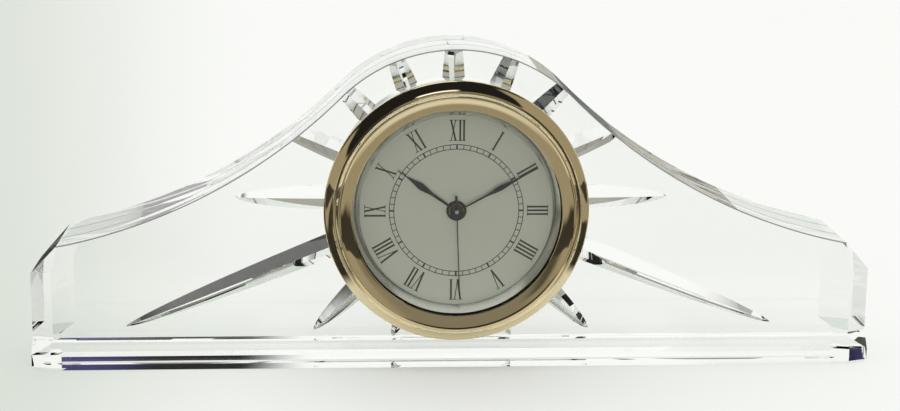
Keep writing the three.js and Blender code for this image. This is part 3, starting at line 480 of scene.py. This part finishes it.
# The grooves' dark grey is painted shade, not the colour of ground glass: it makes the grooves render as dark
# lines.
ground_groove_painted_shade = glass("ground_groove_painted_shade", (0.16, 0.17, 0.17), 1.55, 0.4, 0.5)
lens_glass = glass("lens_glass", (0.99, 1.0, 0.99), 1.5)
gold = finish("gold_metal", (0.80, 0.68, 0.44), 1, 0.05, spread=0.03, grain=300, bump=0)
rehaut_metal = finish("rehaut_metal", (0.55, 0.55, 0.50), 1, 0.12, spread=0.03, grain=400, bump=0.0004)
dial_metal = finish("dial_metal", (0.68, 0.69, 0.62), 0.75, 0.38, spread=0.03, grain=500, bump=0.004,
                    stretch=(6, 1, 0.4))
dial_ink = finish("dial_ink", (0.02, 0.021, 0.02), 0, 0.4, grain=2000, bump=0)
black_metal = finish("black_metal", (0.012, 0.012, 0.014), 0.2, 0.3, grain=1500, bump=0.0006)
gear_brass = finish("gear_brass", (0.78, 0.60, 0.26), 1, 0.28, grain=1200, bump=0.001)
gear_plastic = finish("gear_plastic", (0.86, 0.85, 0.80), 0, 0.45, grain=1500, bump=0.002)
steel = finish("steel", (0.62, 0.63, 0.64), 1, 0.3, grain=1500, bump=0.001, stretch=(1, 1, 5))
magnet = finish("bonded_magnet", (0.07, 0.07, 0.075), 0.3, 0.5, grain=2500, bump=0.003)
copper = finish("copper_wire", (0.72, 0.30, 0.12), 1, 0.3, grain=900, bump=0.02, stretch=(12, 1, 1))
laminate = finish("board_laminate", (0.03, 0.16, 0.06), 0, 0.35, grain=1800, bump=0.004)
cell_steel = finish("cell_steel", (0.68, 0.69, 0.68), 1, 0.22, grain=700, bump=0.001)
black_plastic = finish("black_plastic", (0.018, 0.018, 0.02), 0, 0.45, spread=0.15, grain=2600, bump=0.012)
black_rubber = finish("black_rubber", (0.022, 0.022, 0.022), 0, 0.75, spread=0.2, grain=1800, bump=0.02)

FINISHES = {
    "crystal": crystal, "gold_metal": gold, "lens_glass": lens_glass, "rehaut_metal": rehaut_metal,
    "dial_metal": dial_metal, "black_metal": black_metal, "gear_brass": gear_brass,
    "gear_plastic": gear_plastic, "steel": steel, "bonded_magnet": magnet, "copper_wire": copper,
    "board_laminate": laminate, "cell_steel": cell_steel, "black_plastic": black_plastic,
    "black_rubber": black_rubber,
}


def dress_cad_nodes():
    """Every CAD node takes the finish of its material slot."""
    for part in frame["record"]["subparts"]:
        slots = frame["nodes"][part["node"]].data.materials
        slots.clear()
        slots.append(FINISHES[part["material_slot"]])


def stands_for(obj, node):
    """A new piece in a CAD node's place: the node is hidden and the piece rides on that node's body."""
    body = next(name for name, nodes in frame["record"]["behaviour"]["bodies"].items() if node in nodes)
    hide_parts(node)
    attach(obj, body)


# Clock insert


def spline(points, steps=8):
    """A smooth run through points: each stretch is a Catmull-Rom cubic, with the end points repeated."""
    p = np.array([points[0], *points, points[-1]], float)
    t = np.linspace(0, 1, steps, endpoint=False)[:, None]
    runs = [
        0.5 * (2 * b + (c - a) * t + (2 * a - 5 * b + 4 * c - d) * t**2 + (3 * b - a - 3 * c + d) * t**3)
        for a, b, c, d in zip(p, p[1:], p[2:], p[3:])
    ]
    return [*np.vstack(runs).tolist(), list(points[-1])]


BEZEL_RADIUS = 35.0
RIDGE_RADIUS = 31.08
RIDGE_PROUD = 5.0
OPENING_RADIUS = 27.6
LIP_PROUD = 3.3
SKIRT_INNER, SKIRT_OUTER, SKIRT_DEPTH = 30.4, 31.6, 4.3
SEAT_GAP = 0.3
DIAL_FRONT = 1.4
DIAL_THICKNESS = 0.4
INNER_RADIUS = SKIRT_INNER - SEAT_GAP
REHAUT = {"front": -0.9, "back": 1.2, "outer": 27.3, "inner": 25.6}
LENS = {"front": -2.5, "back": -1.1}


def bezel():
    """A turned ring: straight rim, cove, narrow ledge, wall up to the ridge, cone down to the opening, lip,
    and skirt in the bore. Depths in front of the glass are negative."""
    rim = [(BEZEL_RADIUS - 0.15, -SEAT_GAP), (BEZEL_RADIUS, -0.45), (BEZEL_RADIUS, -1.15),
           (BEZEL_RADIUS - 0.12, -1.38)]
    cove = spline([(BEZEL_RADIUS - 0.4, -1.65), (33.75, -2.15), (33.0, -2.75), (32.56, -3.26)])
    ledge = [(32.5, -3.3), (32.06, -3.34)]
    wall = [(32.0, -3.42), (31.42, -4.72)]
    ridge = spline([(31.38, -4.84), (31.25, -4.97), (RIDGE_RADIUS, -RIDGE_PROUD), (30.9, -4.96),
                    (30.74, -4.84)])
    cone = spline([(30.66, -4.76), (29.4, -4.2), (OPENING_RADIUS + 0.35, -3.72)])
    lip = [(OPENING_RADIUS + 0.1, -3.66), (OPENING_RADIUS, -3.55), (OPENING_RADIUS, -LIP_PROUD)]
    skirt = [(SKIRT_INNER, -LIP_PROUD), (SKIRT_INNER, SKIRT_DEPTH), (SKIRT_OUTER, SKIRT_DEPTH),
             (SKIRT_OUTER, -SEAT_GAP)]
    profile = [*rim, *cove, *ledge, *wall, *ridge, *cone, *lip, *skirt]
    return turned("bezel_turned", profile, gold, 220, sharp=25)


def lens():
    """A flat disc with a small ground chamfer."""
    chamfer = 0.25
    front, back = LENS["front"], LENS["back"]
    profile = [(0, front), (INNER_RADIUS - chamfer, front), (INNER_RADIUS, front + chamfer),
               (INNER_RADIUS, back), (0, back)]
    return turned("lens_ground", profile, lens_glass, 160, sharp=20)


def rehaut():
    """The sloping ring between lens and dial, with its front edge broken by a small chamfer."""
    front, back, outer, inner = (REHAUT[name] for name in ("front", "back", "outer", "inner"))
    profile = [(inner, back), (INNER_RADIUS, back), (INNER_RADIUS, front), (outer + 0.15, front),
               (outer, front + 0.1)]
    return turned("rehaut_ring", profile, rehaut_metal, 200, sharp=20)


def dial():
    """The dial plate with its centre hole."""
    hole = 2.7
    back = DIAL_FRONT + DIAL_THICKNESS
    profile = [(hole, DIAL_FRONT), (INNER_RADIUS, DIAL_FRONT), (INNER_RADIUS, back), (hole, back)]
    return turned("dial_plate", profile, dial_metal, 160, sharp=20)


# Print on the dial


PRINT_FRONT, PRINT_BACK = 0.02, 0.001


def clockwise(points, degrees):
    """Points (x, depth, up) about the dial's centre, turned clockwise and put in place."""
    turn = math.radians(degrees)
    x, depth, up = np.asarray(points, float).reshape(-1, 3).T
    return np.column_stack([x * math.cos(turn) + up * math.sin(turn), FRONT + depth,
                            CLOCK_HEIGHT + up * math.cos(turn) - x * math.sin(turn)])


def joined(*parts):
    """Several point and face lists as one."""
    points, faces = [], []
    for part_points, part_faces in parts:
        faces += [[len(points) + i for i in face] for face in part_faces]
        points += part_points.tolist()
    return np.array(points), faces


def printed(flat, degrees):
    """A flat outline of (across, out) points as a thin slab on the dial, turned clockwise about its centre."""
    layers = [(across, DIAL_FRONT - lift, out) for lift in (PRINT_FRONT, PRINT_BACK) for across, out in flat]
    return clockwise(layers, degrees), slab_faces(len(flat))


NUMERAL_FOOT, NUMERAL_TOP = 18.75, 24.35
STEM, HAIR = 0.48, 0.22
SERIF = 0.17
SERIF_REACH = {"I": 0.46, "V": 0.5, "X": 0.5}
LETTER_WIDTHS = {"I": 1.0, "V": 2.5, "X": 2.6}
LEAN = {"V": 0.62 * 1.25, "X": 0.62}


def stroke(foot, top, width):
    """One slanting bar between the numeral's foot and top, cut level at both."""
    half = width / 2
    return [(foot - half, NUMERAL_FOOT), (foot + half, NUMERAL_FOOT), (top + half, NUMERAL_TOP),
            (top - half, NUMERAL_TOP)]


def serif(centre, reach, height):
    """A level bar across the end of a stroke."""
    left, right = centre - reach, centre + reach
    return [(left, height), (right, height), (right, height + SERIF), (left, height + SERIF)]


def numeral(text):
    """The bars of a Roman numeral as flat outlines, set about its middle: I is a stem, V and X pair a stem
    with a thinner stroke, and serifs close each letter at its foot and top."""
    across = -sum(LETTER_WIDTHS[letter] for letter in text) / 2
    ends = (NUMERAL_FOOT, NUMERAL_TOP - SERIF)
    bars = []
    for letter in text:
        width, reach = LETTER_WIDTHS[letter], SERIF_REACH[letter]
        middle = across + width / 2
        if letter == "I":
            bars.append(stroke(middle, middle, STEM))
            bars += [serif(middle, reach, y) for y in ends]
        else:
            lean = LEAN[letter]
            foot = lean if letter == "X" else 0
            bars += [stroke(middle + foot, middle - lean, STEM), stroke(middle - foot, middle + lean, HAIR)]
            for side in (-1, 1):
                bars += [serif(middle + side * lean, reach, y) for y in (ends if foot else ends[1:])]
        across += width
    return bars


NUMERALS = ["XII", "I", "II", "III", "IIII", "V", "VI", "VII", "VIII", "IX", "X", "XI"]


def numerals():
    """Every bar of the twelve numerals as thin slabs of print, each with its foot towards the centre."""
    bars = [printed(bar, 30 * hour) for hour, text in enumerate(NUMERALS) for bar in numeral(text)]
    return piece("numerals", *joined(*bars), dial_ink, 20)


TRACK_INNER, TRACK_OUTER = 16.55, 17.75
TRACK_LINE = 0.2
TRACK_SEGMENTS = 180
MINUTE_TICK, HOUR_TICK = 0.2, 0.44


def minute_track():
    """Two rings with a tick across them at each minute, a broader one every five."""
    parts = []
    for radius in (TRACK_INNER, TRACK_OUTER):
        inner, outer = radius - TRACK_LINE / 2, radius + TRACK_LINE / 2
        front, back = DIAL_FRONT - PRINT_FRONT, DIAL_FRONT - PRINT_BACK
        profile = [(inner, back), (outer, back), (outer, front), (inner, front)]
        ring = turned_points(profile, TRACK_SEGMENTS).reshape(-1, 3)
        parts.append((ring, grid_faces(len(profile), TRACK_SEGMENTS, True)))
    for minute in range(60):
        half = (MINUTE_TICK if minute % 5 else HOUR_TICK) / 2
        tick = [(-half, TRACK_INNER), (half, TRACK_INNER), (half, TRACK_OUTER), (-half, TRACK_OUTER)]
        parts.append(printed(tick, 6 * minute))
    return piece("minute_track", *joined(*parts), dial_ink, 20)


# Hands


HAND_SIZES = {
    "hour_hand": {"length": 19.0, "leaf": 0.61, "width": 1.9, "shank": 0.6, "boss": 2.6, "hole": 1.98,
                  "angle": 305.125},
    "minute_hand": {"length": 24.3, "leaf": 0.55, "width": 1.35, "shank": 0.4, "boss": 1.85, "hole": 1.13,
                    "angle": 61.5},
}
HAND_NEEDLE = 0.24


def hand_depths(node):
    """A hand's front and back depth, from its CAD node."""
    low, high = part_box(node)
    return low[1] / MM - FRONT, high[1] / MM - FRONT


def blade(distances, halves, front, back):
    """A flat hand along its length, with chamfered front corners. Its width is twice the half at each place."""
    chamfer = 0.3 * (back - front)
    rows = []
    for half, depth, inset in ((1, back, 0), (1, front + chamfer, 0), (1, front, chamfer),
                               (-1, front, chamfer), (-1, front + chamfer, 0), (-1, back, 0)):
        rows.append(np.column_stack([half * np.maximum(halves - inset, 0.3 * halves),
                                     np.full(len(halves), depth), distances]))
    points = np.stack(rows, 1)
    last = 6 * (len(halves) - 1)
    faces = grid_faces(len(halves), 6, False) + [list(range(6)), list(range(last, last + 6))]
    return points.reshape(-1, 3), faces


def boss(radius, hole, front, back):
    """A round eye: a ring with a chamfered front edge."""
    edge, segments = 0.08, 72
    outer = [(radius - edge, front), (radius, front + edge), (radius, back)]
    profile = [(hole, front), *outer, (hole, back)]
    ring = turned_points(profile, segments) - [0, FRONT, CLOCK_HEIGHT]
    return ring.reshape(-1, 3), grid_faces(len(profile), segments, True)


def hand(name, node, size, distances, halves):
    """A hand in its CAD node's depths: the blade with its round eye, turned to its angle."""
    front, back = hand_depths(node)
    eye = boss(size["boss"], size["hole"], front, back)
    points, faces = joined(blade(distances, halves, front, back), eye)
    return piece(name, clockwise(points, size["angle"]), faces, black_metal, 25)


def lance_hand(node):
    """A lance: its width swells from the shank to the leaf and falls to a needle, in straight runs between a
    few given widths."""
    size = HAND_SIZES[node]
    length, leaf = size["length"], size["length"] * size["leaf"]
    start = (size["boss"] + size["hole"]) / 2
    rest = length - leaf
    knots = [start, leaf * 0.7, leaf * 0.9, leaf, leaf + rest * 0.35, leaf + rest * 0.6, length]
    widths = [size["shank"], size["shank"] * 1.3, size["width"] * 0.85, size["width"], size["width"] * 0.45,
              HAND_NEEDLE, HAND_NEEDLE]
    distances = np.linspace(start, length, 60)
    halves = np.interp(distances, knots, widths) / 2
    return hand(node + "_blade", node, size, distances, halves)


SECOND_HAND = {"length": 23.2, "tail": 4.3, "boss": 1.85, "hole": 0.58, "angle": 177.6}


def second_hand():
    """A needle with a flat tail through a round boss."""
    size = SECOND_HAND
    distances = np.array([-size["tail"], -size["boss"], 0, size["length"]])
    halves = np.array([0.32, 0.3, 0.14, 0.12])
    return hand("second_hand_needle", "second_hand", size, distances, halves)


# Stage


def floor(material):
    """A level sheet under the clock, a hair below its underside."""
    reach, level = 6000.0, -0.15
    corners = [(-reach, -reach, level), (reach, -reach, level), (reach, reach, level), (-reach, reach, level)]
    return piece("floor", corners, [[0, 1, 2, 3]], material)


PAPER = (0.97, 0.98, 0.95)
SHADED_PAPER = (0.74, 0.78, 0.71)
KHAKI = (0.40, 0.37, 0.30)
DARK = (0.04, 0.036, 0.032)
FAN = (-31, -491)


def floor_paper():
    """White paper, a little greyer on the left, in a fan from the point under the camera. Glass also sees where
    it ends, and polished metal sees a strip of it under the clock, with dark beside it and khaki in front."""
    material = bpy.data.materials.new("floor_paper")
    nodes = Nodes(material)
    place = nodes.add("TexCoord").outputs["Object"]
    x, y, _ = nodes.add("SeparateXYZ", Vector=place).outputs
    distance = nodes.maths("ADD", y, -FAN[1] * MM)
    slant = nodes.maths("DIVIDE", nodes.maths("ADD", x, -FAN[0] * MM), nodes.maths("MAXIMUM", distance, 0.05))
    greyer = nodes.mixed(nodes.between(slant, -0.2, -0.04), SHADED_PAPER, PAPER)
    # The grey fades out towards the fan's point, where its edges would meet.
    paper = nodes.mixed(nodes.between(y, -320 * MM, -120 * MM), PAPER, greyer)

    sides = nodes.mixed(nodes.between(slant, 0.31, 0.42), paper, (0.34, 0.32, 0.29))
    sides = nodes.mixed(nodes.between(slant, -0.19, -0.25), sides, (0.05, 0.05, 0.05))
    for_glass = nodes.mixed(nodes.between(y, -62 * MM, -85 * MM), sides, (0.40, 0.39, 0.34))

    outside = nodes.mixed(nodes.between(x, 160 * MM, 180 * MM), DARK, KHAKI)
    beside = nodes.mixed(nodes.window(x, -53 * MM, 67 * MM, 7 * MM), outside, paper)
    apart = nodes.maths("SUBTRACT", 1.0, nodes.window(x, -75 * MM, 75 * MM, 15 * MM))
    far = nodes.maths("MULTIPLY", apart, nodes.between(y, -120 * MM, -150 * MM))
    in_front = nodes.mixed(far, KHAKI, DARK)
    for_metal = nodes.mixed(nodes.between(y, -62 * MM, -85 * MM), beside, in_front)

    path = nodes.add("LightPath").outputs
    colour = nodes.mixed(path["Is Glossy Ray"], paper, for_metal)
    colour = nodes.mixed(path["Is Transmission Ray"], colour, for_glass)
    shader = nodes.add("BsdfPrincipled", Base_Color=colour, Roughness=0.8, Specular_IOR_Level=0.1)
    nodes.add("OutputMaterial", Surface=shader.outputs["BSDF"])
    return material


WHITE = (1.0, 1.0, 0.98)
BLACK = (0.015, 0.015, 0.018)
VIOLET = (0.06, 0.05, 0.17)


def world_light():
    """Plain even light on the object. Metal and glass see the room: white behind and dim in front. Glass sees
    a white ceiling and, low behind on the left, a black patch with a violet stripe. Metal sees a black ceiling
    with a strip light, khaki walls to the left and right, and dark ones in front."""
    world = bpy.data.worlds.new("studio")
    bpy.context.scene.world = world
    nodes = Nodes(world)
    place = nodes.add("TexCoord").outputs["Generated"]
    across, back, up = nodes.add("SeparateXYZ", Vector=place).outputs
    degrees = math.degrees(1)
    height = nodes.maths("MULTIPLY", nodes.maths("ARCSINE", up), degrees)
    behind = nodes.maths("MULTIPLY", nodes.maths("ARCTAN2", across, back), degrees)
    forward = nodes.maths("MULTIPLY", back, -1.0)
    ahead = nodes.maths("MULTIPLY", nodes.maths("ARCTAN2", across, forward), degrees)

    def patch(room, azimuth, sideways, upright, colour):
        """A part of the room in a colour: low, high and softness of its azimuth and of its height, in degrees."""
        mask = nodes.maths("MULTIPLY", nodes.window(azimuth, *sideways), nodes.window(height, *upright))
        return nodes.mixed(mask, room, colour)

    rear = nodes.between(back, -0.3, 0.1)
    clear = nodes.mixed(rear, (0.30, 0.29, 0.26), WHITE)
    clear = patch(clear, behind, (-40, -2, 1.2), (8.5, 20.5, 1.2), BLACK)
    clear = patch(clear, behind, (-40, -14, 2), (19, 27, 1.5), BLACK)
    clear = patch(clear, behind, (-10, -6.8, 1.2), (12, 20.5, 1.5), VIOLET)
    clear = nodes.mixed(nodes.between(height, 35, 45), clear, WHITE)

    polish = nodes.mixed(rear, (0.26, 0.25, 0.22), WHITE)
    polish = patch(polish, ahead, (-65, -20, 6), (-30, 16, 4), DARK)
    polish = patch(polish, ahead, (20, 65, 6), (-30, 6, 4), DARK)
    polish = patch(polish, behind, (-150, -50, 10), (-30, 60, 3), KHAKI)
    polish = patch(polish, behind, (50, 150, 10), (-30, 60, 3), KHAKI)
    leaning = nodes.maths("SUBTRACT", height, nodes.maths("MULTIPLY", across, 20.0))
    polish = nodes.mixed(nodes.between(leaning, 35, 39), polish, BLACK)
    strip = nodes.maths("MULTIPLY", nodes.window(across, -0.34, 0.06, 0.03), nodes.between(up, 0.5, 0.6))
    strip = nodes.maths("MULTIPLY", strip, nodes.window(back, -0.05, 0.5, 0.06))
    polish = nodes.mixed(strip, polish, (1.6, 1.6, 1.65))

    path = nodes.add("LightPath").outputs
    room = nodes.mixed(path["Is Transmission Ray"], polish, clear)
    shine = nodes.maths("MAXIMUM", path["Is Glossy Ray"], path["Is Transmission Ray"])
    plain = nodes.mixed(path["Is Camera Ray"], (1.0, 1.0, 1.0), (0.95, 0.96, 0.93))
    light = nodes.add("Background", Color=nodes.mixed(shine, plain, room))
    nodes.add("OutputWorld", Surface=light.outputs["Background"])


CAMERA_PLACE = (-31.0, -491.22, 151.14)
CAMERA_TURNS = (3.51, 12.56, 0.54)
FOCAL_LENGTH, SENSOR_WIDTH = 74.22, 36
CLIP_END = 20


def camera():
    """The photograph's camera, turned a little to the right, then down, with a slight roll."""
    yaw, pitch, roll = (math.radians(angle) for angle in CAMERA_TURNS)
    ahead = np.array([math.sin(yaw) * math.cos(pitch), math.cos(yaw) * math.cos(pitch), -math.sin(pitch)])
    right = np.array([math.cos(yaw), -math.sin(yaw), 0])
    up = np.cross(right, ahead)
    right, up = (right * math.cos(roll) + up * math.sin(roll), up * math.cos(roll) - right * math.sin(roll))
    data = bpy.data.cameras.new("camera")
    data.lens = FOCAL_LENGTH
    data.sensor_width = SENSOR_WIDTH
    data.clip_end = CLIP_END
    obj = bpy.data.objects.new("camera", data)
    turn = np.eye(4)
    turn[:3, 0], turn[:3, 1], turn[:3, 2] = right, up, -ahead
    turn[:3, 3] = np.array(CAMERA_PLACE) * MM
    obj.matrix_world = Matrix(turn.tolist())
    bpy.context.collection.objects.link(obj)
    bpy.context.scene.camera = obj


camera()
world_light()
floor(floor_paper())
dress_cad_nodes()
stands_for(crystal_block(crystal, ground_bore, ground_groove_painted_shade), "crystal_block")
stands_for(bezel(), "bezel")
stands_for(lens(), "lens")
stands_for(rehaut(), "rehaut")
stands_for(dial(), "dial")
for part in (numerals(), minute_track()):
    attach(part, "insert")
for node in HAND_SIZES:
    stands_for(lance_hand(node), node)
stands_for(second_hand(), "second_hand")

bpy.context.scene.view_settings.view_transform = "Standard"
